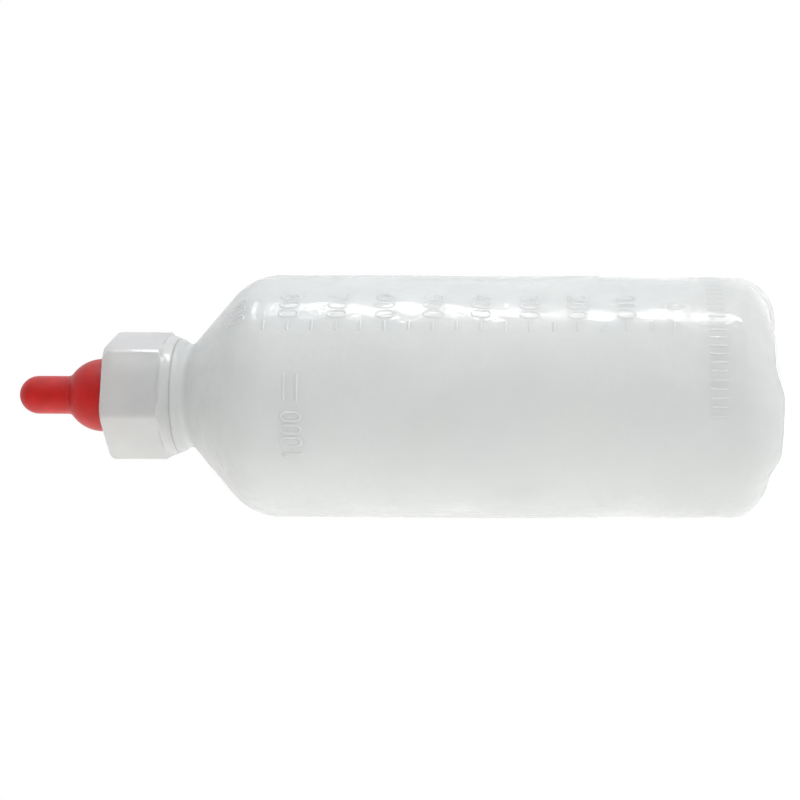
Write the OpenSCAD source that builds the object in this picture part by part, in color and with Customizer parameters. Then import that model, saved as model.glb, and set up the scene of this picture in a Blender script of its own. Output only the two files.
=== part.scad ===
// Feeding bottle for young calves and lambs: a blow-moulded one-litre bottle, a six-sided screw cap,
// and a hollow rubber teat whose flange the cap clamps on the neck's rim.
// The origin is at the centre of the plane that the bottle stands on, and +Z runs along the axis to the teat.

/* [Bottle body] */
// Outer diameter of the straight side
body_d = 89; // [84:0.5:96]
// Wall thickness of the side and the shoulder
wall = 1.2; // [1:0.1:1.5]
// Height where the straight side and the shoulder cone would meet
shoulder_z = 190.3; // [186:0.1:194]
// Radius that rounds the side into the shoulder
shoulder_r = 22; // [14:1:26]
// Angle of the shoulder cone from the axis
shoulder_angle = 48.8; // [47:0.2:52]
// Radius of the bottom edge
heel_r = 15; // [10:1:18]

/* [Base] */
// Width of each of the three feet, which are tongues running out from the centre
foot_w = 30; // [24:0.5:34]
// Direction of the first foot, counter-clockwise from +X
foot_angle = 10.6; // [0:0.2:119.8]
// Height of the recesses between the feet
recess_depth = 2.8; // [1.5:0.1:3]
// Height of the push-up at the centre of the base
pushup_h = 2.6; // [2.2:0.1:3.4]
// Diameter of the push-up where it meets the floor plane
pushup_d = 40; // [36:1:44]

/* [Neck] */
// Outer diameter of the neck between the threads
neck_d = 34; // [33.6:0.1:34.2]
// Diameter of the neck's bore
neck_bore_d = 30; // [28:0.5:31]
// Radius of the rounded bead under the cap
bead_r = 3.4; // [3:0.1:3.8]
// Height of the bead's flat top
bead_top_z = 218; // [217.8:0.1:218.2]
// Height of the rim that the teat seals on
rim_z = 237.3; // [236.8:0.1:237.3]

/* [Thread] */
// Axial travel for each turn of the cap
pitch = 4.2; // [4:0.1:4.4]
// Turns of thread on the neck and in the cap
turns = 2; // [1.5:0.1:2]
// How far each thread stands out of its wall
thread_h = 1.6; // [1.2:0.1:1.6]
// Width of a thread at its wall
thread_w = 1.9; // [1.6:0.1:2]

/* [Cap] */
// Distance across the flats of the six-sided grip
cap_af = 42.1; // [41.8:0.1:43.5]
// Radius of the grip's six corners
cap_corner_r = 1.5; // [0.8:0.1:2.5]
// Height of the cap's front face
cap_top_z = 242.7; // [242:0.1:243.2]
// Height where the six-sided grip gives way to the round collar
cap_grip_z = 221.6; // [221:0.1:223]
// Diameter of the round collar beside the grip
cap_collar_d = 44.2; // [43.4:0.2:44.4]
// Diameter between the cap's threads
cap_bore_d = 38.4; // [38.2:0.1:38.6]
// Diameter of the hole that the teat comes through
cap_hole_d = 27.4; // [27.2:0.1:28]
// Direction of one of the grip's corners, counter-clockwise from +X
cap_corner_angle = 12; // [0:0.5:59.5]

/* [Teat] */
// Diameter of the teat's collar and dome
teat_d = 26.8; // [26:0.1:26.8]
// Height of the dome's centre
dome_z = 246.8; // [245:0.2:249]
// Diameter of the nipple
nipple_d = 14; // [12:0.2:16]
// Radius that blends the dome into the nipple
nipple_blend_r = 3; // [2:0.2:4]
// Height of the nipple's tip
tip_z = 277.6; // [272:0.1:284]
// Thickness of the teat's wall
teat_wall = 2; // [1.6:0.1:2.4]
// Diameter of the nipple's bore
nipple_bore_d = 9.6; // [8:0.2:9.8]
// Diameter of the milk hole in the tip
milk_hole_d = 1.6; // [1:0.1:2]
// Diameter of the flange that the cap clamps
flange_d = 33.2; // [32:0.1:33.4]
// Thickness of the flange
flange_t = 2.2; // [1.8:0.1:2.2]

/* [Hidden] */

PLASTIC_CLEAR = [0.86, 0.89, 0.88, 0.55];
PLASTIC_WHITE = [0.93, 0.93, 0.92];
RUBBER_RED = [0.72, 0.08, 0.07];

$fn = 96;
arc_steps = 10;        // straight stretches that each rounded stretch of an outline is drawn with
corner_steps = 4;      // the same for the small rounds of the rim and the grip's corners
teat_steps = 8;        // the same for the teat's dome and tip
thread_steps = 36;     // stretches of thread for each turn
thread_root = 0.4;     // how far a thread is sunk in its wall, so that the two are one solid
thread_crest_share = 0.48;  // width of a thread's crest as a share of its width at the wall
thread_start_z = 225;  // height of the neck thread's lower end
thread_taper = 60;     // angle over which each end of a thread tapers
face_gap = 0.1;        // gap on each side of the clamped flange
rear_gap = 0.3;        // gap between the cap and the bead
cap_lead_in = 0.6;     // chamfer at the mouth of the cap's bore
collar_drop = 1.1;     // how much the collar narrows towards its open end
corner_chamfer = 1.5;  // how far the chamfers cut into the grip's corners
corner_chamfer_h = 0.9;  // height of those chamfers
base_wall = 1.6;       // thickness of the base
foot_inset = 0.05;     // how far the side of a foot stays inside the body's side, so that it ends in the heel
rim_round = 0.6;       // radius of the rim's outer edge
bead_stand = 0.5;      // how far the centre of the bead's arc stands out of the neck
neck_sink = 4;         // how far the neck and the bead run down into the shoulder
cut = 1;               // how far a cut runs past the face that it opens

body_r = body_d / 2;
inner_r = body_r - wall;
neck_r = neck_d / 2;
neck_bore_r = neck_bore_d / 2;
cap_bore_r = cap_bore_d / 2;
cap_hole_r = cap_hole_d / 2;
cap_rear_z = bead_top_z + rear_gap;
cap_corner_reach = (cap_af / 2 - cap_corner_r) / cos(30) + cap_corner_r;
flange_z = rim_z + face_gap;
disc_z = flange_z + flange_t + face_gap;
teat_r = teat_d / 2;
nipple_r = nipple_d / 2;
bead_axis_r = neck_r + bead_stand;
milk_hole_r = milk_hole_d / 2;
foot_top_z = heel_r + 2 * recess_depth;

// Points of an arc about centre [x, y], from one angle to another
function arc(centre, r, from, to, steps = arc_steps) =
    [for (i = [0:steps]) let (a = from + (to - from) * i / steps) centre + r * [cos(a), sin(a)]];

// Height at which the shoulder cone, moved inwards by a wall thickness, has a given radius
function cone_z(r, inset = 0) =
    shoulder_z + (body_r - inset / cos(shoulder_angle) - r) / tan(shoulder_angle);

// Centre of the arc that rounds a straight side of radius side into a cone moved inwards by inset
function shoulder_centre(side, arc_r, inset) =
    [side - arc_r, cone_z(side, inset) - arc_r * tan(shoulder_angle / 2)];

// Half of the body's outer outline above the feet, closed at the top of the shoulder cone
function body_outline() = concat(
    [[0, recess_depth]],
    arc([body_r - heel_r, recess_depth + heel_r], heel_r, -90, 0),
    arc(shoulder_centre(body_r, shoulder_r, 0), shoulder_r, 0, shoulder_angle),
    [[neck_r, cone_z(neck_r)], [0, cone_z(neck_r)]]);

// Half of the neck's outline, from inside the shoulder to the rim
function neck_outline() = concat(
    [[0, cone_z(neck_r) - neck_sink], [neck_r, cone_z(neck_r) - neck_sink]],
    arc([neck_r - rim_round, rim_z - rim_round], rim_round, 0, 90, corner_steps),
    [[0, rim_z]]);

// Half of the bead's outline: a quarter round under a flat top, closed inside the neck
function bead_outline() = concat(
    [[neck_bore_r, bead_top_z - bead_r]],
    arc([bead_axis_r, bead_top_z], bead_r, -90, 0),
    [[neck_bore_r, bead_top_z]]);

// Half of the cavity's outline above the feet, up to the axis above the rim
function cavity_outline() = concat(
    [[0, recess_depth + base_wall]],
    arc([body_r - heel_r, recess_depth + base_wall + heel_r - wall], heel_r - wall, -90, 0),
    arc(shoulder_centre(inner_r, shoulder_r - wall, wall), shoulder_r - wall, 0, shoulder_angle),
    [[neck_bore_r, cone_z(neck_bore_r, wall)], [neck_bore_r, rim_z + cut], [0, rim_z + cut]]);

// Half of a foot's outline: a flat bottom and a rounded edge, closed inside the body
function foot_outline(bottom, side_r, edge_r) = concat(
    [[0, bottom]],
    arc([side_r - foot_inset - edge_r, bottom + edge_r], edge_r, -90, 0),
    [[side_r - foot_inset, foot_top_z], [0, foot_top_z]]);

// Three feet that run out from the centre: an outline turned round the axis, kept within three straight tongues
module feet(width, outline) {
    intersection() {
        rotate_extrude() polygon(outline);
        for (k = [0:2])
            rotate([0, 0, foot_angle + 120 * k])
                translate([0, -width / 2, -cut])
                    cube([body_r, width, foot_top_z + 2 * cut]);
    }
}

// The push-up at the centre of the base, grown by skin
module pushup(skin) {
    r = (pow(pushup_d / 2, 2) + pow(pushup_h, 2)) / (2 * pushup_h);
    translate([0, 0, pushup_h - r]) sphere(r = r + skin);
}

// A helical thread with tapered ends. foot_r is the wall that it stands on, and side is 1 outwards or -1 inwards.
module thread(foot_r, side, start_z) {
    count = floor(turns * thread_steps);
    fade = thread_taper * thread_steps / 360;
    slope = thread_w * (1 - thread_crest_share) / 2 / thread_h;
    points = [for (i = [0:count])
        let (grow = min(1, (i + 0.5) / fade, (count - i + 0.5) / fade),
             a = 360 * i / thread_steps,
             z = start_z + pitch * i / thread_steps,
             crest = foot_r + side * thread_h * grow,
             root = foot_r - side * thread_root,
             crest_w = thread_w / 2 - slope * thread_h * grow,
             root_w = thread_w / 2 + slope * thread_root)
        for (p = [[root, -root_w], [crest, -crest_w], [crest, crest_w], [root, root_w]])
            [p[0] * cos(a), p[0] * sin(a), z + p[1]]];
    rings = [for (i = [0:count - 1], k = [0:3])
        let (a = 4 * i + k, b = 4 * i + (k + 1) % 4)
        side > 0 ? [a, b, b + 4, a + 4] : [a, a + 4, b + 4, b]];
    ends = side > 0 ? [[3, 2, 1, 0], [for (k = [0:3]) 4 * count + k]]
                    : [[0, 1, 2, 3], [for (k = [3:-1:0]) 4 * count + k]];
    polyhedron(points, concat(rings, ends), convexity = 8);
}

// The bottle's whole outside: body on three feet, bead, and neck with its thread
module bottle_outside() {
    difference() {
        union() {
            rotate_extrude() polygon(body_outline());
            feet(foot_w, foot_outline(0, body_r, heel_r));
        }
        pushup(0);
    }
    rotate_extrude() polygon(bead_outline());
    rotate_extrude() polygon(neck_outline());
    thread(neck_r, 1, thread_start_z);
}

// The bottle's cavity, open at the rim
module bottle_cavity() {
    difference() {
        union() {
            rotate_extrude() polygon(cavity_outline());
            feet(foot_w - 2 * base_wall, foot_outline(base_wall, inner_r, heel_r - wall));
        }
        pushup(base_wall);
    }
}

module bottle() color(PLASTIC_CLEAR) {
    difference() {
        bottle_outside();
        bottle_cavity();
    }
}

// The six-sided grip's outline with rounded corners
module grip_outline() {
    rotate(cap_corner_angle)
        polygon([for (k = [0:5])
            each arc((cap_af / 2 - cap_corner_r) / cos(30) * [cos(60 * k), sin(60 * k)],
                     cap_corner_r, 60 * k - 30, 60 * k + 30, corner_steps)]);
}

// The outline that turns the grip's corners down at both ends and carries the collar
module cap_envelope() {
    r = cap_corner_reach + cut;
    face_r = cap_corner_reach - corner_chamfer;
    slope_r = corner_chamfer + cut;
    slope_h = corner_chamfer_h * slope_r / corner_chamfer;
    rotate_extrude() polygon([
        [0, cap_grip_z], [face_r, cap_grip_z], [r, cap_grip_z + slope_h],
        [r, cap_top_z - slope_h], [face_r, cap_top_z], [0, cap_top_z]]);
}

module cap_collar() {
    collar_r = cap_collar_d / 2;
    collar_h = cap_grip_z + corner_chamfer_h - cap_rear_z;
    rotate_extrude() polygon(concat(
        [[0, cap_rear_z], [collar_r - collar_drop, cap_rear_z]],
        [for (i = [1:arc_steps]) let (t = i / arc_steps)
            [collar_r - collar_drop * (1 - t) * (1 - t), cap_rear_z + collar_h * t]],
        [[0, cap_rear_z + collar_h]]));
}

// The screw cap: a six-sided grip, a round collar, an internal thread, and a front disc with the teat's hole
module cap() color(PLASTIC_WHITE) {
    thread_shift = pitch / 2;
    union() {
        difference() {
            union() {
                intersection() {
                    translate([0, 0, cap_grip_z]) linear_extrude(cap_top_z - cap_grip_z) grip_outline();
                    cap_envelope();
                }
                cap_collar();
            }
            translate([0, 0, cap_rear_z - cut]) cylinder(h = disc_z - cap_rear_z + cut, r = cap_bore_r);
            translate([0, 0, cap_rear_z - cut]) cylinder(h = cap_top_z - cap_rear_z + 2 * cut, r = cap_hole_r);
            translate([0, 0, cap_rear_z])
                cylinder(h = cap_lead_in, r1 = cap_bore_r + cap_lead_in, r2 = cap_bore_r);
        }
        thread(cap_bore_r, -1, thread_start_z - thread_shift);
    }
}

// Half of the teat's outer outline, from the axis under the flange to the tip
function teat_outline() =
    let (reach = teat_r + nipple_blend_r,
         blend_x = nipple_r + nipple_blend_r,
         blend_z = dome_z + sqrt(reach * reach - blend_x * blend_x),
         blend_a = atan2(blend_z - dome_z, blend_x))
    concat(
        [[0, flange_z], [flange_d / 2, flange_z], [flange_d / 2, flange_z + flange_t],
         [teat_r, flange_z + flange_t]],
        arc([0, dome_z], teat_r, 0, blend_a, teat_steps),
        arc([blend_x, blend_z], nipple_blend_r, blend_a + 180, 180, teat_steps),
        arc([0, tip_z - nipple_r], nipple_r, 0, 90, teat_steps));

// Half of the teat's hollow, from the axis under the flange to the inside of the tip
function hollow_outline() =
    let (dome_r = teat_r - teat_wall,
         bore_r = nipple_bore_d / 2,
         mouth_z = dome_z + sqrt(dome_r * dome_r - bore_r * bore_r))
    concat(
        [[0, flange_z - cut], [dome_r, flange_z - cut]],
        arc([0, dome_z], dome_r, 0, atan2(mouth_z - dome_z, bore_r), teat_steps),
        arc([0, tip_z - teat_wall - bore_r], bore_r, 0, 90, teat_steps));

// The rubber teat: a clamped flange, a domed shoulder and a hollow nipple with a milk hole
module teat() color(RUBBER_RED) {
    difference() {
        rotate_extrude() polygon(teat_outline());
        rotate_extrude() polygon(hollow_outline());
        translate([0, 0, tip_z - 2 * teat_wall]) cylinder(h = 2 * teat_wall + cut, r = milk_hole_r);
    }
}

bottle();
teat();
cap();
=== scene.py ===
"""Looks of the calf feeding bottle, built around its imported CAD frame.

Lengths below are in millimetres and become metres in the meshes. +Z runs along the bottle's axis, from the
base to the teat. A direction round the axis is an angle in degrees, counter-clockwise from +X.
"""

import math

import bpy
import numpy as np
from mathutils import Matrix, Vector


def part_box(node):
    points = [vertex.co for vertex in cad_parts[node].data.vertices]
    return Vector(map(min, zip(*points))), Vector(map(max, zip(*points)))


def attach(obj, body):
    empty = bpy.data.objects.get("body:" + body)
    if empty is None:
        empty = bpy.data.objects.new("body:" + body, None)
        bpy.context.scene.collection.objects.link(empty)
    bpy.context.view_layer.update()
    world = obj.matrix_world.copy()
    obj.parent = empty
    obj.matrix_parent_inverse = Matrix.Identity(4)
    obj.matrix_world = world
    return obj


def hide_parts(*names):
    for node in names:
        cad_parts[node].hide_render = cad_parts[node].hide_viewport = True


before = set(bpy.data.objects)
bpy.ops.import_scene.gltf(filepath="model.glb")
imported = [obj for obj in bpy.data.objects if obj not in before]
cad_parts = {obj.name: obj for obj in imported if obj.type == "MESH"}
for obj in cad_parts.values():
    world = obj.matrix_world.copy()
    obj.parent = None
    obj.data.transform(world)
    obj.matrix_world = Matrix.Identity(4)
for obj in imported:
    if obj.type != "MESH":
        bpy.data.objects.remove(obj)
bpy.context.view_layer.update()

MM = 0.001


def box_mm(node):
    """A CAD node's lowest and highest corner in millimetres."""
    low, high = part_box(node)
    return low / MM, high / MM


# ---- sizes taken from the frame ----
bottle_high = box_mm("bottle")[1]
cap_low, cap_high = box_mm("cap")
teat_low, teat_high = box_mm("teat")
BODY_R = bottle_high.x
RIM_Z = bottle_high.z
CAP_REAR_Z = cap_low.z
CAP_TOP_Z = cap_high.z
FLANGE_Z = teat_low.z
FLANGE_R = teat_high.x
TIP_Z = teat_high.z

# ---- bottle ----
WALL = 1.2
BASE_WALL = 1.6
HEEL_R = 15.0
SHOULDER_R = 22.0
SHOULDER_ANGLE = math.radians(48.8)
SHOULDER_Z = 190.3
BEAD_R = 3.4
BEAD_AXIS_R = 17.5
SEAM_GAP = 0.06
BEAD_TOP_Z = CAP_REAR_Z - SEAM_GAP
ROOT_FILLET_R = 2.6
NECK_R = 17.0
NECK_BORE_R = 15.0
RIM_ROUND = 0.6
FOOT_ANGLE = 10.6
FOOT_W = 30.0
FOOT_SLOPE_W = 11.0
RECESS_DEPTH = 2.8
RECESS_FADE_H = 26.0
PUSHUP_H = 2.6
PUSHUP_D = 40.0
PUSHUP_BLEND = 0.9
SEAM_ANGLES = (18.0, 198.0)
SEAM_H = 0.1
SEAM_W = 0.45
BOTTLE_COLUMNS = 288

# ---- waves in the blown wall: how many go round it, and the height in which each moves on by a radian ----
WAVE_H = 0.1
WAVE_FADE_H = 12
CLIMBING_WAVES = 5
CLIMBING_H = 9.0
FALLING_WAVES = 3
FALLING_H = 13.0
FALLING_START = 1.0
CROSSED_WAVES = 8
CROSSED_H = 7.0
CROSSED_START = 2.0
CROSSED_SHARE = 0.8
CROSSED_SWAY = 0.7
CROSSED_SWAY_H = 17.0

# ---- screw thread ----
PITCH = 4.2
THREAD_TURNS = 2.0
THREAD_H = 1.6
THREAD_W = 1.9
THREAD_CREST_SHARE = 0.48
THREAD_START_Z = 225.0
THREAD_FADE = 60.0

# ---- cap ----
CAP_FLAT_R = 21.05
CAP_CORNER_R = 1.5
CAP_BEVEL_R = 23.85
CAP_CORNER_ANGLE = 12.0
CAP_GRIP_Z = 221.6
CAP_COLLAR_R = 22.1
CAP_COLLAR_DROP = 1.1
CAP_BORE_R = 19.2
CAP_HOLE_R = 13.7
CAP_DISC_Z = 239.7
CORNER_CHAMFER = 1.5
CORNER_CHAMFER_H = 0.9
CAP_EDGE_R = 0.5
CAP_REAR_ROUND = 0.12
CAP_LEAD_IN = 0.6
BEVEL_BLEND = 0.3
CHAMFER_BLEND = 0.5
COLLAR_BLEND = 1.2
COLLAR_END_DROP = 1.2

# ---- the cap's columns, in degrees from a flat's middle (start, stop, step) or from a corner, and rings ----
CAP_FLAT_ANGLES = (-26, 26.1, 4)
CAP_CORNER_ANGLES = (0.8, 1.2, 1.5, 1.8, 2.2, 2.8)
CAP_FRONT_SHARES = (0.06, 0.2, 0.45, 0.7, 0.9)
FIRST_RING_H = 0.4
CLOSE_RINGS_END_H = 2.4
WIDE_RINGS_START_H = 2.5
CLOSE_RING_STEP = 0.2
WIDE_RINGS = 22

# ---- teat ----
TEAT_R = 13.4
DOME_Z = 246.8
NIPPLE_R = 7.0
NIPPLE_BLEND_R = 3.0
TEAT_WALL = 2.0
NIPPLE_BORE_R = 4.8
MILK_HOLE_R = 0.8
MILK_HOLE_EDGE_W = 0.25
MILK_HOLE_EDGE_H = 0.15
FLANGE_T = 2.2
FLANGE_ROUND = 0.4
TEAT_COLUMNS = 144


# ======================================================================================================
# Outlines. An outline is a list of (radius, height) points, and it runs round the section of a wall.
# ======================================================================================================
def arc(centre, radius, start, end, steps):
    """Points of an arc, from one angle to another, both in degrees."""
    angles = np.radians(np.linspace(start, end, steps + 1))
    return [(centre[0] + radius * math.cos(a), centre[1] + radius * math.sin(a)) for a in angles]


def line(start, end, step):
    """Points along a straight line, no further apart than step. Both ends are included."""
    count = max(1, math.ceil(math.dist(start, end) / step))
    return [tuple(np.add(start, np.subtract(end, start) * k / count)) for k in range(count + 1)]


def joined(*parts):
    """One outline from several, without the repeated points where they meet."""
    points = [p for part in parts for p in part]
    return [p for i, p in enumerate(points) if i == 0 or math.dist(p, points[i - 1]) > 1e-6]


def cone_z(radius, inset=0.0):
    """Height at which the shoulder cone, moved inwards by inset, has a radius."""
    return SHOULDER_Z + (BODY_R - inset / math.cos(SHOULDER_ANGLE) - radius) / math.tan(SHOULDER_ANGLE)


def shoulder(side_r, inset, steps):
    """The arc that rounds a straight side into the shoulder cone."""
    arc_r = SHOULDER_R - inset
    centre = (side_r - arc_r, cone_z(side_r, inset) - arc_r * math.tan(SHOULDER_ANGLE / 2))
    return arc(centre, arc_r, 0, math.degrees(SHOULDER_ANGLE), steps)


def neck_root():
    """The fillet between the shoulder cone and the bead, and the bead up to its top edge."""
    bead = np.array([BEAD_AXIS_R, BEAD_TOP_Z])
    outward = np.array([math.cos(SHOULDER_ANGLE), math.sin(SHOULDER_ANGLE)])
    along = np.array([math.sin(SHOULDER_ANGLE), -math.cos(SHOULDER_ANGLE)])
    start = np.array([NECK_R, cone_z(NECK_R)]) + ROOT_FILLET_R * outward
    off = start - bead
    reach = (BEAD_R + ROOT_FILLET_R) ** 2 - off @ off
    centre = start + (math.sqrt((off @ along) ** 2 + reach) - off @ along) * along
    foot = math.degrees(math.atan2(*(centre - bead)[::-1]))
    cone_side = 180 + math.degrees(SHOULDER_ANGLE)
    return joined(
        arc(centre, ROOT_FILLET_R, cone_side, foot + 180, 6),
        arc(bead, BEAD_R, foot, 0, 12))


def outer_side():
    """The bottle's outer outline from the centre of the base to the bead's top edge."""
    heel = arc((BODY_R - HEEL_R, HEEL_R), HEEL_R, -90, 0, 24)
    rounding = shoulder(BODY_R, 0.0, 20)
    root = neck_root()
    return joined(
        line((0.0, 0.0), heel[0], 1.0), heel, line(heel[-1], rounding[0], 2.0), rounding,
        line(rounding[-1], root[0], 2.5), root)


def neck_outside():
    """The neck's outer outline from the bead's top edge to the rim."""
    rim = arc((NECK_R - RIM_ROUND, RIM_Z - RIM_ROUND), RIM_ROUND, 0, 90, 4)
    return joined(
        line((BEAD_AXIS_R + BEAD_R, BEAD_TOP_Z), (NECK_R, BEAD_TOP_Z), 1.0),
        line((NECK_R, BEAD_TOP_Z), rim[0], 0.22), rim)


def bottle_inside():
    """The bottle's inner outline from the rim to the centre of the base."""
    rim = arc((NECK_BORE_R + RIM_ROUND, RIM_Z - RIM_ROUND), RIM_ROUND, 90, 180, 4)
    side_r = BODY_R - WALL
    rounding = shoulder(side_r, WALL, 16)[::-1]
    heel = arc((BODY_R - HEEL_R, BASE_WALL + HEEL_R - WALL), HEEL_R - WALL, 0, -90, 20)
    foot = (NECK_BORE_R, cone_z(NECK_BORE_R, WALL))
    return joined(
        rim, line(rim[-1], foot, 2.0), line(foot, rounding[0], 2.5), rounding,
        line(rounding[-1], heel[0], 6.0), heel, line(heel[-1], (0.0, BASE_WALL), 1.0))


# ======================================================================================================
# Meshes
# ======================================================================================================
def finish_piece(name, body, material, verts, faces, replaced=()):
    """A smooth mesh object in metres that rides on a CAD body and takes its finish from a slot."""
    mesh = bpy.data.meshes.new(name)
    mesh.from_pydata((np.asarray(verts) * MM).tolist(), [], faces)
    mesh.validate()
    mesh.polygons.foreach_set("use_smooth", [True] * len(mesh.polygons))
    mesh.materials.append(material)
    mesh.update()
    piece = bpy.data.objects.new(name, mesh)
    bpy.context.scene.collection.objects.link(piece)
    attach(piece, body)
    if replaced:
        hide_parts(*replaced)
    return piece


def revolved(radii, heights, angles, closed):
    """Vertices and faces of rings round the axis. radii and heights hold one row for each ring and one
    column for each angle. A closed section joins its last ring to its first, and an open one ends in poles
    on the axis."""
    rings, columns = radii.shape
    turn = np.radians(angles)[None, :]
    grid = np.stack([radii * np.cos(turn), radii * np.sin(turn), heights], axis=-1)
    if closed:
        index = np.arange(rings * columns).reshape(rings, columns)
        verts = grid.reshape(-1, 3)
        pairs = [(i, (i + 1) % rings) for i in range(rings)]
        poles = []
    else:
        inner = grid[1:-1].reshape(-1, 3)
        index = np.arange((rings - 2) * columns).reshape(rings - 2, columns)
        first, last = len(inner), len(inner) + 1
        verts = np.vstack([inner, grid[0].mean(axis=0), grid[-1].mean(axis=0)])
        pairs = [(i, i + 1) for i in range(rings - 3)]
        poles = [(first, index[0], False), (last, index[-1], True)]
    faces = []
    for low, high in pairs:
        a, b = index[low], index[high]
        faces += np.stack([a, np.roll(a, -1), np.roll(b, -1), b], axis=1).tolist()
    for tip, ring, at_end in poles:
        after = np.roll(ring, -1)
        order = (ring, after) if at_end else (after, ring)
        for p, q in zip(*order):
            faces.append([int(p), int(q), tip] if at_end else [tip, int(p), int(q)])
    return verts, faces


def smooth_step(t):
    """Eases from 0 to 1."""
    t = np.clip(t, 0, 1)
    return t * t * (3 - 2 * t)


def smooth_max(a, b, blend):
    """The larger of two values, rounded where they are within blend of each other."""
    near = np.clip(1 - np.abs(a - b) / blend, 0, 1)
    return np.maximum(a, b) + near * near * blend / 4


def on_foot(x, y):
    """How far a point of the base is on one of the three feet, from 0 to 1. Each foot is a tongue from the
    centre."""
    on = np.zeros_like(x)
    for k in range(3):
        turn = math.radians(FOOT_ANGLE + 120 * k)
        along = x * math.cos(turn) + y * math.sin(turn)
        aside = np.abs(y * math.cos(turn) - x * math.sin(turn))
        off = np.where(along > 0, aside, np.hypot(x, y))
        on = np.maximum(on, smooth_step((FOOT_W / 2 - off) / FOOT_SLOPE_W + 0.5))
    return on


def shaped_base(radii, heights, turn, skin):
    """Heights of the rings once the recesses between the feet and the push-up are pressed into the base.
    skin is how far inside the outer surface the rings are."""
    x, y = radii * np.cos(turn), radii * np.sin(turn)
    fade = (1 + np.cos(math.pi * np.clip((heights - skin) / RECESS_FADE_H, 0, 1))) / 2
    pressed = heights + RECESS_DEPTH * (1 - on_foot(x, y)) * fade
    pushup_r = ((PUSHUP_D / 2) ** 2 + PUSHUP_H ** 2) / (2 * PUSHUP_H) + skin
    pushup = PUSHUP_H + skin - pushup_r + np.sqrt(np.maximum(pushup_r ** 2 - x * x - y * y, 0.0))
    return smooth_max(pressed, pushup, PUSHUP_BLEND)


def wall_wave(turn, heights):
    """How far the blown wall stands out or in at a direction (in radians) and a height: gentle, uneven
    waves that fade out at the heel and the shoulder."""
    climbing = np.sin(CLIMBING_WAVES * turn + heights / CLIMBING_H)
    falling = np.sin(FALLING_WAVES * turn - heights / FALLING_H + FALLING_START)
    sway = CROSSED_SWAY * np.sin(heights / CROSSED_SWAY_H)
    wave = climbing + falling
    wave += CROSSED_SHARE * np.sin(CROSSED_WAVES * turn + sway) * np.sin(heights / CROSSED_H + CROSSED_START)
    above_heel = smooth_step((heights - HEEL_R) / WAVE_FADE_H)
    below_shoulder = smooth_step((SHOULDER_Z - heights) / WAVE_FADE_H)
    return WAVE_H * wave * (above_heel * below_shoulder)


def thread_height(heights, angles, start_z):
    """How far a helical thread stands out of its wall, from 0 to 1 of its full height."""
    slope_w = THREAD_W * (1 - THREAD_CREST_SHARE) / 2
    stand = np.zeros_like(heights)
    for turn_index in range(math.ceil(THREAD_TURNS) + 1):
        turned = np.mod(angles, 360)[None, :] + 360 * turn_index
        travel = np.clip(np.minimum(turned, 360 * THREAD_TURNS - turned) / THREAD_FADE, 0, 1)
        off = np.abs(heights - start_z - PITCH * turned / 360)
        ridge = np.clip((THREAD_W / 2 - off) / slope_w, 0, 1)
        stand = np.maximum(stand, np.minimum(ridge, travel))
    return smooth_step(stand)


def ring_grid(outline, angles):
    """Radii and heights of an outline turned through the angles, as rows of rings."""
    points = np.array(outline)
    radii = np.repeat(points[:, :1], len(angles), axis=1)
    heights = np.repeat(points[:, 1:], len(angles), axis=1)
    return radii, heights


def seam_angles(count):
    """Even angles with a few more close to the mould's parting lines."""
    near = np.degrees(np.array([-1.6, -0.8, -0.4, 0.0, 0.4, 0.8, 1.6]) * SEAM_W / BODY_R)
    even = np.arange(count) * 360 / count
    clear = [a for a in even if min(abs(a - s) for s in SEAM_ANGLES) > near[-1] + 0.2]
    return np.sort(np.concatenate([clear] + [s + near for s in SEAM_ANGLES]))


def make_bottle(material):
    """The bottle as one closed skin: side, shoulder, bead, threaded neck, bore and three-footed base."""
    angles = seam_angles(BOTTLE_COLUMNS)
    outside, neck, inside = outer_side(), neck_outside(), bottle_inside()
    radii, heights = ring_grid(outside, angles)
    turn = np.radians(angles)[None, :]
    off_seam = np.min([np.abs(np.radians(angles - s)) * BODY_R for s in SEAM_ANGLES], axis=0)
    on_side = np.clip((radii - BEAD_AXIS_R - BEAD_R) / BEAD_R, 0, 1) * np.clip(heights / HEEL_R, 0, 1)
    radii = radii + SEAM_H * np.exp(-((off_seam / (SEAM_W / 2)) ** 2))[None, :] * on_side
    radii = radii + wall_wave(turn, heights)
    heights = shaped_base(radii, heights, turn, 0.0)
    neck_radii, neck_heights = ring_grid(neck, angles)
    on_wall = (np.abs(neck_radii - NECK_R) < 1e-6) * thread_height(neck_heights, angles, THREAD_START_Z)
    neck_radii = neck_radii + THREAD_H * on_wall
    in_radii, in_heights = ring_grid(inside, angles)
    in_heights = shaped_base(in_radii, in_heights, turn, BASE_WALL)
    verts, faces = revolved(
        np.vstack([radii, neck_radii[1:], in_radii[1:]]),
        np.vstack([heights, neck_heights[1:], in_heights[1:]]), angles, closed=False)
    return finish_piece("bottle_shell", "bottle", material, verts, faces, ["bottle"])


def corner_angles():
    """Angles round the cap that crowd at the grip's six bevelled corners."""
    near_corner = np.array(CAP_CORNER_ANGLES)
    corner = 30 + np.concatenate([-near_corner[::-1], [0.0], near_corner])
    flat = np.arange(*CAP_FLAT_ANGLES)
    return np.concatenate(
        [CAP_CORNER_ANGLE + 30 + 60 * k + part for k in range(6) for part in (flat, corner)])


def grip_radius(angles, inset):
    """Radius of the six-sided grip's outline, with a narrow bevel on each corner, moved inwards by inset."""
    off_flat = np.radians(np.abs(np.mod(angles - CAP_CORNER_ANGLE, 60) - 30))
    flat = (CAP_FLAT_R - inset) / np.cos(off_flat)
    bevel = (CAP_BEVEL_R - inset) / np.cos(np.radians(30) - off_flat)
    return -smooth_max(-flat, -bevel, BEVEL_BLEND)


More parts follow.
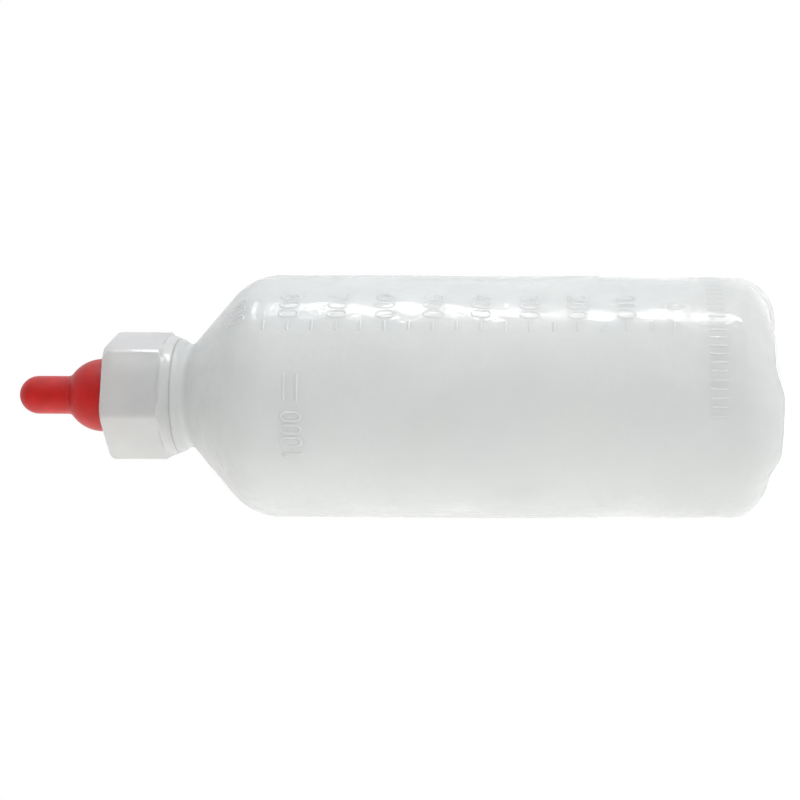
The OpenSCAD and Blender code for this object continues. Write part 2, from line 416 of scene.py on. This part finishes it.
def cap_outside(angles):
    """The cap's outside rings from the collar's open end to the front face. The six-sided grip has chamfered
    corners and a rounded front edge, and it melts into the round collar."""
    reach = (CAP_FLAT_R - CAP_CORNER_R) / math.cos(math.radians(30)) + CAP_CORNER_R
    slope = CORNER_CHAMFER / CORNER_CHAMFER_H
    edge = CAP_TOP_Z - CAP_EDGE_R
    fillet = np.radians(np.linspace(0, 90, 6))[1:]
    close_end = CAP_GRIP_Z + CLOSE_RINGS_END_H
    rises = [(z, 0.0) for z in np.arange(CAP_REAR_Z + FIRST_RING_H, close_end, CLOSE_RING_STEP)]
    rises += [(z, 0.0) for z in np.linspace(CAP_GRIP_Z + WIDE_RINGS_START_H, edge, WIDE_RINGS)]
    rises += [(edge + CAP_EDGE_R * math.sin(a), CAP_EDGE_R * (1 - math.cos(a))) for a in fillet]
    rows = []
    for z, inset in rises:
        envelope = reach - CORNER_CHAMFER + slope * min(z - CAP_GRIP_Z, CAP_TOP_Z - z)
        outline = grip_radius(angles, inset)
        grip = -smooth_max(-outline, np.full_like(outline, -envelope), CHAMFER_BLEND)
        below = (CAP_GRIP_Z - z) / (CAP_GRIP_Z - CAP_REAR_Z)
        drop = CAP_COLLAR_DROP * below ** 2 if below > 0 else COLLAR_END_DROP * (z - CAP_GRIP_Z) ** 2
        radius = smooth_max(grip, np.full_like(grip, CAP_COLLAR_R - drop), COLLAR_BLEND)
        rows.append((radius, np.full_like(grip, z)))
    return rows


def make_cap(material):
    """The screw cap as one closed skin: collar, six-sided grip, front disc with the teat's hole, and
    thread."""
    angles = corner_angles()
    even = np.ones(len(angles))
    outside = cap_outside(angles)
    rear_r = outside[0][0].min()
    rear = joined(
        line((CAP_BORE_R + CAP_LEAD_IN, CAP_REAR_Z), (rear_r - CAP_REAR_ROUND, CAP_REAR_Z), 0.6),
        arc((rear_r - CAP_REAR_ROUND, CAP_REAR_Z + CAP_REAR_ROUND), CAP_REAR_ROUND, -90, 0, 3))
    rows = [(r * even, z * even) for r, z in rear] + outside
    last = outside[-1][0]
    for share in CAP_FRONT_SHARES:
        rows.append((last + (CAP_HOLE_R + CAP_EDGE_R - last) * share, CAP_TOP_Z * even))
    hole = joined(
        arc((CAP_HOLE_R + CAP_EDGE_R, CAP_TOP_Z - CAP_EDGE_R), CAP_EDGE_R, 90, 180, 5),
        line((CAP_HOLE_R, CAP_TOP_Z - CAP_EDGE_R), (CAP_HOLE_R, CAP_DISC_Z), 0.8),
        line((CAP_HOLE_R, CAP_DISC_Z), (CAP_BORE_R, CAP_DISC_Z), 1.2))
    rows += [(r * even, z * even) for r, z in hole]
    for r, z in line((CAP_BORE_R, CAP_DISC_Z), (CAP_BORE_R, CAP_REAR_Z + CAP_LEAD_IN), 0.24)[1:]:
        stand = thread_height(np.full((1, len(angles)), z), angles, THREAD_START_Z - PITCH / 2)[0]
        rows.append((r - THREAD_H * stand, z * even))
    radii = np.array([r for r, z in rows])
    heights = np.array([z for r, z in rows])
    verts, faces = revolved(radii, heights, angles, closed=True)
    return finish_piece("cap_shell", "cap", material, verts, faces, ["cap"])


def make_teat(material):
    """The teat as one closed skin: clamped flange, domed shoulder, hollow nipple and milk hole."""
    angles = np.arange(TEAT_COLUMNS) * (360 / TEAT_COLUMNS)
    reach, blend_x = TEAT_R + NIPPLE_BLEND_R, NIPPLE_R + NIPPLE_BLEND_R
    blend_z = DOME_Z + math.sqrt(reach ** 2 - blend_x ** 2)
    dome_end = math.degrees(math.atan2(blend_z - DOME_Z, blend_x))
    dome_r = TEAT_R - TEAT_WALL
    mouth_z = DOME_Z + math.sqrt(dome_r ** 2 - NIPPLE_BORE_R ** 2)
    mouth_angle = math.degrees(math.atan2(mouth_z - DOME_Z, NIPPLE_BORE_R))
    hole_edge = math.degrees(math.acos((MILK_HOLE_R + MILK_HOLE_EDGE_W) / NIPPLE_R))
    hole_inner = math.degrees(math.acos(MILK_HOLE_R / NIPPLE_BORE_R))
    flange_top = FLANGE_Z + FLANGE_T
    tip = arc((0, TIP_Z - NIPPLE_R), NIPPLE_R, 0, hole_edge, 18)
    inner_tip = arc((0, TIP_Z - TEAT_WALL - NIPPLE_BORE_R), NIPPLE_BORE_R, hole_inner, 0, 10)
    hole_top = (MILK_HOLE_R, tip[-1][1] - MILK_HOLE_EDGE_H)
    round_r = FLANGE_R - FLANGE_ROUND
    outline = joined(
        line((dome_r, FLANGE_Z), (round_r, FLANGE_Z), 1.2),
        arc((round_r, FLANGE_Z + FLANGE_ROUND), FLANGE_ROUND, -90, 0, 3),
        arc((round_r, flange_top - FLANGE_ROUND), FLANGE_ROUND, 0, 90, 3),
        line((round_r, flange_top), (TEAT_R, flange_top), 1.0),
        line((TEAT_R, flange_top), (TEAT_R, DOME_Z), 1.0),
        arc((0, DOME_Z), TEAT_R, 0, dome_end, 18),
        arc((blend_x, blend_z), NIPPLE_BLEND_R, dome_end + 180, 180, 10),
        line((NIPPLE_R, blend_z), tip[0], 1.2), tip,
        [hole_top],
        line(hole_top, inner_tip[0], 0.6), inner_tip,
        line(inner_tip[-1], (NIPPLE_BORE_R, mouth_z), 2.0),
        arc((0, DOME_Z), dome_r, mouth_angle, 0, 12),
        line((dome_r, DOME_Z), (dome_r, FLANGE_Z), 1.5))[:-1]
    radii, heights = ring_grid(outline, angles)
    verts, faces = revolved(radii, heights, angles, closed=True)
    return finish_piece("teat_skin", "teat", material, verts, faces, ["teat"])


# ======================================================================================================
# Raised marks. A mark is a rounded ridge along a path, drawn flat in millimetres and laid on the bottle.
# ======================================================================================================
RIDGE_W = 1.05
RIDGE_H = 0.1
RIDGE_SINK = 0.35
RIDGE_STEP = 0.3
SLOPE_STEP = 0.3
DIGIT_W = 3.0
DIGIT_H = 6.4
DIGIT_GAP = 1.4
SCALE_ANGLE = -44.0
TICK_ANGLE = -56.5
TICK_LENGTH = 3.4
CAPACITY_ANGLE = -108.0
CAPACITY_Z = 171.5
CAPACITY_DIGIT_H = DIGIT_H + 0.3
LEVEL_BAR_TURN = 22.0
LEVEL_BAR_RISE = 2.2
LEVEL_BAR_HALF_LENGTH = 4.2
SCALE_ZERO_Z = 39.2
SCALE_STEP = 16.8
EVEN_NUMBERS = 9
LAST_MARK_S = 193.2
TICKS = 18
BAND_Z = (21.4, 27.6)
BAND_ANGLES = (-98.0, 10.0)
BAND_BARS = 28


class Meridian:
    """The outer outline as a path: distance along it equals height on the straight side."""

    def __init__(self):
        points = np.array(outer_side())
        self.points = points[points[:, 1] > HEEL_R - 1e-6]
        steps = np.linalg.norm(np.diff(self.points, axis=0), axis=1)
        self.along = HEEL_R + np.concatenate([[0], np.cumsum(steps)])

    def at(self, s):
        """Radius, height and outward direction at distances along the outline."""
        r = np.interp(s, self.along, self.points[:, 0])
        z = np.interp(s, self.along, self.points[:, 1])
        ahead = [np.interp(s + SLOPE_STEP, self.along, self.points[:, k]) for k in (0, 1)]
        behind = [np.interp(s - SLOPE_STEP, self.along, self.points[:, k]) for k in (0, 1)]
        tangent = np.stack(ahead, axis=-1) - np.stack(behind, axis=-1)
        tangent /= np.linalg.norm(tangent, axis=-1, keepdims=True)
        return r, z, tangent[..., 1], -tangent[..., 0]


def curve(centre, radii, start, end, steps=14):
    """Points of an arc of an ellipse in a digit's cell."""
    angles = np.radians(np.linspace(start, end, steps + 1))
    return [(centre[0] + radii[0] * math.cos(a), centre[1] + radii[1] * math.sin(a)) for a in angles]


def digit_strokes(digit):
    """A digit's strokes in a cell from (0, 0) to (1, 1), each as (points, whether it closes on itself)."""
    oval = curve((0.5, 0.68), (0.5, 0.32), 0, 180) + curve((0.5, 0.32), (0.5, 0.32), 180, 360)
    bowl = curve((0.5, 0.32), (0.5, 0.32), 0, 360, 28)[:-1]
    hook = curve((0.85, 0.32), (0.85, 0.68), 90, 172, 12)
    strokes = {
        "0": [(oval, True)],
        "1": [([(0.15, 0.78), (0.55, 1.0), (0.55, 0.0)], False)],
        "2": [(curve((0.5, 0.7), (0.46, 0.3), 165, -35) + [(0.02, 0.0), (1.0, 0.0)], False)],
        "3": [(curve((0.48, 0.76), (0.42, 0.24), 150, -80)
               + curve((0.46, 0.27), (0.5, 0.27), 80, -150), False)],
        "4": [([(0.72, 0.0), (0.72, 1.0), (0.0, 0.28), (1.0, 0.28)], False)],
        "5": [([(0.92, 1.0), (0.16, 1.0), (0.08, 0.55)]
               + curve((0.48, 0.31), (0.5, 0.31), 125, -150), False)],
        "6": [(bowl, True), (hook, False)],
        "7": [([(0.0, 1.0), (1.0, 1.0), (0.36, 0.0)], False)],
        "8": [(curve((0.5, 0.77), (0.4, 0.23), 0, 360, 24)[:-1], True),
              (curve((0.5, 0.27), (0.5, 0.27), 0, 360, 28)[:-1], True)],
    }
    if digit == "9":
        return [([(1 - x, 1 - y) for x, y in points], closed) for points, closed in digit_strokes("6")]
    return strokes[digit]


def even_points(points, closed, step):
    """A path's points again, evenly spaced, with its corners kept nearly sharp."""
    path = np.array(points + points[:1] if closed else points, float)
    lengths = np.linalg.norm(np.diff(path, axis=0), axis=1)
    along = np.concatenate([[0], np.cumsum(lengths)])
    count = max(4, math.ceil(along[-1] / step))
    at = np.linspace(0, along[-1], count + 1)
    made = np.stack([np.interp(at, along, path[:, k]) for k in (0, 1)], axis=-1)
    return made[:-1] if closed else made


def ridge(points, closed):
    """Vertices (across, along, height) and faces of a rounded ridge along a flat path."""
    path = even_points(points, closed, RIDGE_STEP)
    if closed:
        tangent = np.roll(path, -1, axis=0) - np.roll(path, 1, axis=0)
    else:
        tangent = np.gradient(path, axis=0)
    tangent /= np.linalg.norm(tangent, axis=1, keepdims=True)
    width = np.ones(len(path))
    if not closed:
        ends = np.radians([75, 45, 20])
        before = [path[0] - tangent[0] * RIDGE_W / 2 * math.sin(a) for a in ends]
        after = [path[-1] + tangent[-1] * RIDGE_W / 2 * math.sin(a) for a in ends[::-1]]
        path = np.vstack([before, path, after])
        tangent = np.vstack([np.repeat(tangent[:1], 3, axis=0), tangent, np.repeat(tangent[-1:], 3, axis=0)])
        narrow = np.cos(ends)
        width = np.concatenate([narrow, width, narrow[::-1]])
    side = np.stack([-tangent[:, 1], tangent[:, 0]], axis=1)
    section = [(-1.0, -RIDGE_SINK)]
    section += [(t, RIDGE_H * (1 + math.cos(math.pi * t)) / 2) for t in np.linspace(-0.96, 0.96, 9)]
    section += [(1.0, -RIDGE_SINK)]
    verts = []
    for centre, across, w in zip(path, side, width):
        for t, h in section:
            lift = h * w if h > 0 else h
            spot = centre + across * t * w * RIDGE_W / 2
            verts.append((spot[0], spot[1], lift))
    n, m = len(path), len(section)
    spans = range(n) if closed else range(n - 1)
    faces = [[i * m + k, i * m + (k + 1) % m, (i + 1) % n * m + (k + 1) % m, (i + 1) % n * m + k]
             for i in spans for k in range(m)]
    if not closed:
        faces += [list(range(m))[::-1], [(n - 1) * m + k for k in range(m)]]
    return np.array(verts), faces


def laid_on(meridian, verts, angle, s, upright):
    """Lays a flat mark on the bottle, centred on a direction and a distance along the outline."""
    way = 1.0 if upright else -1.0
    r, z, out_r, out_z = meridian.at(s + way * verts[:, 1])
    centre_r = float(meridian.at(np.array([s]))[0][0])
    turn = math.radians(angle) + way * verts[:, 0] / centre_r
    radius = r + verts[:, 2] * out_r + wall_wave(turn, z)
    return np.stack([radius * np.cos(turn), radius * np.sin(turn), z + verts[:, 2] * out_z], axis=-1)


def number_strokes(text, height=DIGIT_H):
    """The strokes of a number, centred on the origin and reading along +x."""
    width = DIGIT_W * height / DIGIT_H
    pitch = width + DIGIT_GAP
    start = -(len(text) * pitch - DIGIT_GAP) / 2
    for place, digit in enumerate(text):
        for points, closed in digit_strokes(digit):
            yield [(start + place * pitch + x * width, (y - 0.5) * height) for x, y in points], closed


def make_marks(name, material, marks):
    """One piece of raised marks. marks holds (points, closed, angle, s, upright) for each stroke."""
    meridian = Meridian()
    verts, faces, base = [], [], 0
    for points, closed, angle, s, upright in marks:
        flat, sides = ridge(points, closed)
        verts.append(laid_on(meridian, flat, angle, s, upright))
        faces += [[i + base for i in side] for side in sides]
        base += len(flat)
    return finish_piece(name, "bottle", material, np.vstack(verts), faces)


def make_scale(material):
    """The raised graduations: numbers every hundred, ticks every fifty, and the capacity mark with two bars
    beside it."""
    places = [SCALE_ZERO_Z + SCALE_STEP * k for k in range(EVEN_NUMBERS)] + [LAST_MARK_S]
    numbers = [(points, closed, SCALE_ANGLE, s, False)
               for k, s in enumerate(places)
               for points, closed in number_strokes("0" if k == 0 else str(k * 100))]
    capacity = [(points, closed, CAPACITY_ANGLE, CAPACITY_Z, True)
                for points, closed in number_strokes("1000", CAPACITY_DIGIT_H)]
    bar = [(-LEVEL_BAR_HALF_LENGTH, 0.0), (LEVEL_BAR_HALF_LENGTH, 0.0)]
    level_bars = [(bar, False, CAPACITY_ANGLE + LEVEL_BAR_TURN, CAPACITY_Z + rise, True)
                  for rise in (-LEVEL_BAR_RISE, LEVEL_BAR_RISE)]
    tick = [(-TICK_LENGTH / 2, 0.0), (TICK_LENGTH / 2, 0.0)]
    ticks = [(tick, False, TICK_ANGLE, SCALE_ZERO_Z + SCALE_STEP * k / 2, True) for k in range(TICKS)]
    make_marks("scale_numbers", material, numbers)
    make_marks("capacity_mark", material, capacity + level_bars)
    make_marks("scale_ticks", material, ticks)


def make_band(material):
    """The row of plain raised bars near the base."""
    middle = sum(BAND_Z) / 2
    half = (BAND_Z[1] - BAND_Z[0] - RIDGE_W) / 2
    bars = [([(0.0, -half), (0.0, half)], False, angle, middle, True)
            for angle in np.linspace(*BAND_ANGLES, BAND_BARS)]
    return make_marks("base_bars", material, bars)


# ======================================================================================================
# Materials
# ======================================================================================================
class Shader:
    """A Principled material with a few helpers for procedural detail in the frame's own coordinates."""

    def __init__(self, name, **values):
        self.material = bpy.data.materials.new(name)
        self.material.use_nodes = True
        self.tree = self.material.node_tree
        self.bsdf = self.tree.nodes["Principled BSDF"]
        for socket, value in values.items():
            self.bsdf.inputs[socket.replace("_", " ")].default_value = value
        self.place = self.tree.nodes.new("ShaderNodeTexCoord").outputs["Object"]

    def link(self, a, b):
        self.tree.links.new(a, b)

    def stretched(self, scale):
        node = self.tree.nodes.new("ShaderNodeMapping")
        node.inputs["Scale"].default_value = scale
        self.link(self.place, node.inputs["Vector"])
        return node.outputs["Vector"]

    def noise(self, scale, detail=3.0, stretch=(1.0, 1.0, 1.0)):
        node = self.tree.nodes.new("ShaderNodeTexNoise")
        node.inputs["Scale"].default_value = scale
        node.inputs["Detail"].default_value = detail
        self.link(self.stretched(stretch), node.inputs["Vector"])
        return node.outputs["Fac"]

    def spread(self, value, low, high):
        """Maps a noise value to a range."""
        node = self.tree.nodes.new("ShaderNodeMapRange")
        node.inputs["From Min"].default_value = 0.3
        node.inputs["From Max"].default_value = 0.7
        node.inputs["To Min"].default_value = low
        node.inputs["To Max"].default_value = high
        self.link(value, node.inputs["Value"])
        return node.outputs["Result"]

    def colour(self, value, low, high):
        ramp = self.tree.nodes.new("ShaderNodeValToRGB")
        ramp.color_ramp.elements[0].position = 0.3
        ramp.color_ramp.elements[0].color = (*low, 1)
        ramp.color_ramp.elements[1].position = 0.7
        ramp.color_ramp.elements[1].color = (*high, 1)
        self.link(value, ramp.inputs["Fac"])
        self.link(ramp.outputs["Color"], self.bsdf.inputs["Base Color"])

    def bump(self, value, distance, strength, below=None):
        node = self.tree.nodes.new("ShaderNodeBump")
        node.inputs["Distance"].default_value = distance
        node.inputs["Strength"].default_value = strength
        self.link(value, node.inputs["Height"])
        if below is not None:
            self.link(below, node.inputs["Normal"])
        return node.outputs["Normal"]


def polyethylene(name, transmission, gloss, coat_roughness, tone):
    """Natural polyethylene: milky and translucent, with a smooth skin that blow moulding leaves a little
    uneven. gloss is the least and the most of its patchy clear shine, and tone darkens its colour."""
    s = Shader(name, Transmission_Weight=transmission, IOR=1.5, Specular_IOR_Level=0.3,
               Coat_Roughness=coat_roughness, Subsurface_Weight=0.5, Subsurface_Scale=0.004)
    s.bsdf.inputs["Subsurface Radius"].default_value = (1.0, 1.0, 1.0)
    dark = [c * tone for c in (0.915, 0.94, 0.93)]
    light = [c * tone for c in (0.95, 0.96, 0.95)]
    s.colour(s.noise(28, 2.0), dark, light)
    s.link(s.spread(s.noise(60, 3.0), 0.58, 0.68), s.bsdf.inputs["Roughness"])
    s.link(s.spread(s.noise(48, 4.0), *gloss), s.bsdf.inputs["Coat Weight"])
    die_lines = s.bump(s.noise(260, 2.0, (1.0, 1.0, 0.03)), distance=0.00006, strength=0.5)
    ripple = s.bump(s.noise(330, 2.0), distance=0.0001, strength=0.8, below=die_lines)
    waves = s.bump(s.noise(62, 2.0), distance=0.0012, strength=0.15, below=ripple)
    s.link(waves, s.bsdf.inputs["Normal"])
    grain = s.bump(s.noise(220, 2.0), distance=0.00028, strength=1.0, below=die_lines)
    fine_grain = s.bump(s.noise(620, 2.0), distance=0.00009, strength=1.0, below=grain)
    dents = s.bump(s.noise(75, 3.0), distance=0.0012, strength=0.65, below=fine_grain)
    s.link(dents, s.bsdf.inputs["Coat Normal"])
    return s.material


def white_plastic():
    """Milky white injection-moulded polyethylene, thin enough to let light through."""
    s = Shader("milky_polyethylene", Transmission_Weight=0.5, IOR=1.5, Specular_IOR_Level=0.35,
               Coat_Weight=0.6, Coat_Roughness=0.07, Subsurface_Weight=0.4, Subsurface_Scale=0.003)
    s.bsdf.inputs["Subsurface Radius"].default_value = (1.0, 0.95, 0.9)
    s.colour(s.noise(90, 2.0), (0.85, 0.855, 0.845), (0.91, 0.91, 0.905))
    s.link(s.spread(s.noise(150, 3.0), 0.4, 0.52), s.bsdf.inputs["Roughness"])
    s.link(s.bump(s.noise(220, 3.0), distance=0.0002, strength=0.25), s.bsdf.inputs["Normal"])
    return s.material


def red_rubber():
    """Moulded red rubber with a soft sheen and a faintly dusty skin."""
    s = Shader("red_rubber", IOR=1.52, Specular_IOR_Level=0.22, Coat_Weight=0.3, Coat_Roughness=0.25,
               Subsurface_Weight=0.15, Subsurface_Scale=0.0015)
    s.bsdf.inputs["Subsurface Radius"].default_value = (1.0, 0.25, 0.2)
    s.colour(s.noise(180, 4.0), (0.47, 0.004, 0.004), (0.6, 0.01, 0.008))
    s.link(s.spread(s.noise(320, 3.0), 0.42, 0.56), s.bsdf.inputs["Roughness"])
    s.link(s.bump(s.noise(900, 3.0), distance=0.0001, strength=0.2), s.bsdf.inputs["Normal"])
    return s.material


# ======================================================================================================
# Stage, light and camera
# ======================================================================================================
LIGHT_FRONT = 0.38
LIGHT_BEHIND = 0.92
LIGHT_SIDES = 0.95
WARM_WHITE = (1.1, 1.1, 1.06)
COOL_WHITE = (0.74, 0.755, 0.79)
FLOOR_HALF_M = 1.6

CAMERA_SENSOR_W = 36.0
CAMERA_LENS = 72.7
CAMERA_SHIFT_X = -0.17
CAMERA_DISTANCE = 596.5
CAMERA_HEIGHT = 87.3
CAMERA_AIM_X = -1.04
CAMERA_ROLL = 0.28
CAMERA_CLIP_M = (0.01, 20.0)


def make_floor():
    """A plain white floor under the bottle's feet."""
    half = FLOOR_HALF_M
    mesh = bpy.data.meshes.new("floor")
    corners = [(-half, -half, 0), (half, -half, 0), (half, half, 0), (-half, half, 0)]
    mesh.from_pydata(corners, [], [[0, 1, 2, 3]])
    floor = bpy.data.objects.new("floor", mesh)
    bpy.context.scene.collection.objects.link(floor)
    shader = Shader("floor_white", Roughness=0.9, Base_Color=(0.95, 0.95, 0.95, 1), Emission_Strength=0.45,
                    Emission_Color=(1, 1, 1, 1))
    shader.link(shader.spread(shader.noise(2.0, 1.0), 0.88, 0.92), shader.bsdf.inputs["Roughness"])
    mesh.materials.append(shader.material)


def make_world():
    """Soft light from all round, strongest from both sides of the bottle and weakest from the camera. It is
    cooler and dimmer from +X, and warmer and brighter from -X. The camera itself sees plain white."""
    world = bpy.data.worlds.new("studio")
    bpy.context.scene.world = world
    world.use_nodes = True
    tree = world.node_tree
    tree.nodes.clear()
    out = tree.nodes.new("ShaderNodeOutputWorld")
    mixed = tree.nodes.new("ShaderNodeMixShader")
    seen = tree.nodes.new("ShaderNodeBackground")
    seen.inputs["Color"].default_value = (1, 1, 1, 1)
    lit = tree.nodes.new("ShaderNodeBackground")
    path = tree.nodes.new("ShaderNodeLightPath")
    place = tree.nodes.new("ShaderNodeTexCoord")
    split = tree.nodes.new("ShaderNodeSeparateXYZ")
    behind = tree.nodes.new("ShaderNodeMapRange")
    behind.inputs["From Min"].default_value = -1.0
    behind.inputs["To Min"].default_value = LIGHT_FRONT
    behind.inputs["To Max"].default_value = LIGHT_BEHIND
    squared = tree.nodes.new("ShaderNodeMath")
    squared.operation = "POWER"
    squared.inputs[1].default_value = 2.0
    strength = tree.nodes.new("ShaderNodeMath")
    strength.operation = "MULTIPLY_ADD"
    strength.inputs[1].default_value = LIGHT_SIDES
    tint = tree.nodes.new("ShaderNodeValToRGB")
    tint.color_ramp.elements[0].color = (*WARM_WHITE, 1)
    tint.color_ramp.elements[1].color = (*COOL_WHITE, 1)
    across = tree.nodes.new("ShaderNodeMapRange")
    across.inputs["From Min"].default_value = -1.0
    tree.links.new(place.outputs["Generated"], split.inputs["Vector"])
    tree.links.new(split.outputs["Y"], behind.inputs["Value"])
    tree.links.new(split.outputs["X"], squared.inputs[0])
    tree.links.new(split.outputs["X"], across.inputs["Value"])
    tree.links.new(across.outputs["Result"], tint.inputs["Fac"])
    tree.links.new(squared.outputs["Value"], strength.inputs[0])
    tree.links.new(behind.outputs["Result"], strength.inputs[2])
    tree.links.new(tint.outputs["Color"], lit.inputs["Color"])
    tree.links.new(strength.outputs["Value"], lit.inputs["Strength"])
    tree.links.new(path.outputs["Is Camera Ray"], mixed.inputs["Fac"])
    tree.links.new(lit.outputs["Background"], mixed.inputs[1])
    tree.links.new(seen.outputs["Background"], mixed.inputs[2])
    tree.links.new(mixed.outputs["Shader"], out.inputs["Surface"])


def make_softbox(name, angle, distance, width, low, high, tilt, power):
    """A rectangular light beside the bottle, facing it and tilted a little from its axis. Only gloss shows
    it."""
    data = bpy.data.lights.new(name, "AREA")
    data.shape = "RECTANGLE"
    data.size, data.size_y = width * MM, (high - low) * MM
    data.energy = power
    light = bpy.data.objects.new(name, data)
    turn = math.radians(angle)
    out = Vector((math.cos(turn), math.sin(turn), 0))
    light.location = (out * distance + Vector((0, 0, (low + high) / 2))) * MM
    light.rotation_mode = "QUATERNION"
    up = Vector((0, 0, 1))
    basis = Matrix((up.cross(out), up, out)).transposed()
    light.rotation_quaternion = (basis @ Matrix.Rotation(math.radians(tilt), 3, "Z")).to_quaternion()
    bpy.context.scene.collection.objects.link(light)
    light.visible_camera = False
    light.visible_diffuse = False
    light.visible_transmission = False
    light.visible_volume_scatter = False


def make_camera():
    """The photograph's view: square on to the bottle's side, with the bottle lying across the frame."""
    data = bpy.data.cameras.new("camera")
    camera = bpy.data.objects.new("camera", data)
    data.sensor_width = CAMERA_SENSOR_W
    data.lens = CAMERA_LENS
    data.shift_x = CAMERA_SHIFT_X
    right = Vector((0, 0, -1))
    up = Vector((1, 0, 0))
    basis = Matrix((right, up, right.cross(up))).transposed()
    camera.rotation_mode = "QUATERNION"
    roll = Matrix.Rotation(math.radians(CAMERA_ROLL), 3, "Z")
    camera.rotation_quaternion = (basis @ roll).to_quaternion()
    camera.location = Vector((CAMERA_AIM_X, -CAMERA_DISTANCE, CAMERA_HEIGHT)) * MM
    data.clip_start, data.clip_end = CAMERA_CLIP_M
    bpy.context.scene.collection.objects.link(camera)
    bpy.context.scene.camera = camera


wall_plastic = polyethylene(
    "natural_polyethylene", transmission=0.4, gloss=(0.0, 1.0), coat_roughness=0.045, tone=1.0)
raised_plastic = polyethylene(
    "raised_polyethylene", transmission=0.0, gloss=(0.25, 0.35), coat_roughness=0.2, tone=0.92)
make_bottle(wall_plastic)
make_scale(raised_plastic)
make_band(raised_plastic)
make_cap(white_plastic())
make_teat(red_rubber())

make_floor()
make_world()
make_softbox(
    "side_light", angle=-14.5, distance=165.0, width=52.0, low=-2.0, high=212.0, tilt=-5.0, power=0.13)
make_softbox(
    "side_core", angle=-15.5, distance=165.0, width=26.0, low=-2.0, high=194.0, tilt=-9.0, power=0.2)
make_softbox(
    "cap_light", angle=-10.0, distance=165.0, width=64.0, low=245.0, high=270.0, tilt=0.0, power=0.06)
make_camera()
bpy.context.scene.view_settings.view_transform = "Standard"
